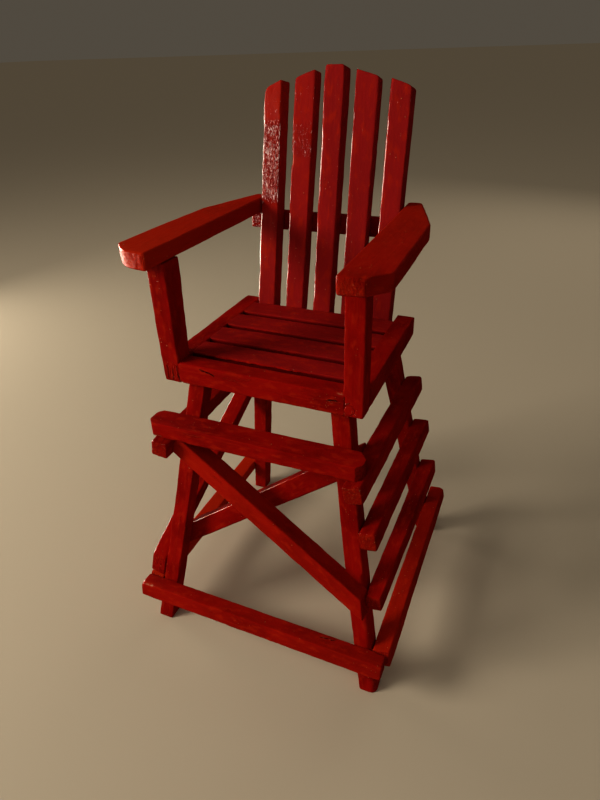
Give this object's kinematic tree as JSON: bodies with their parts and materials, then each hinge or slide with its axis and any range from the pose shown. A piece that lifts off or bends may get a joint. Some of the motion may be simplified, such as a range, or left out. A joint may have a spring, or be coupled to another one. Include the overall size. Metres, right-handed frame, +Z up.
{
  "type": "model lifeguard chair",
  "caption": "Painted wooden model of a tall beach lifeguard chair: splayed legs, side rails used as steps, crossed braces, footrest, broad arms and a leaning slatted back.",
  "frame": {"origin": "on the ground under the middle of the chair's bounding box", "axes": "+X to the sitter's left, the side with the steps; +Y to the back; +Z up"},
  "size_m": [0.2022, 0.202, 0.388],
  "materials": {
    "red_enamel": "thick glossy red enamel brushed over hand-cut wood"
  },
  "bodies": {
    "root": {"front_left_leg": "red_enamel", "front_right_leg": "red_enamel", "back_left_leg": "red_enamel", "back_right_leg": "red_enamel", "bottom_front_rail": "red_enamel", "bottom_left_rail": "red_enamel", "bottom_right_rail": "red_enamel", "lower_step": "red_enamel", "middle_step": "red_enamel", "upper_left_rail": "red_enamel", "upper_right_rail": "red_enamel", "footrest_board": "red_enamel", "front_brace": "red_enamel", "inner_front_brace": "red_enamel", "left_brace": "red_enamel", "seat_apron": "red_enamel", "left_seat_rail": "red_enamel", "right_seat_rail": "red_enamel", "seat_back_rail": "red_enamel", "seat_board_1": "red_enamel", "seat_board_2": "red_enamel", "seat_board_3": "red_enamel", "seat_board_4": "red_enamel", "left_arm_post": "red_enamel", "right_arm_post": "red_enamel", "left_armrest": "red_enamel", "right_armrest": "red_enamel", "arm_back_rail": "red_enamel", "back_slat_1": "red_enamel", "back_slat_2": "red_enamel", "back_slat_3": "red_enamel", "back_slat_4": "red_enamel", "back_slat_5": "red_enamel"}
  },
  "joints": []
}
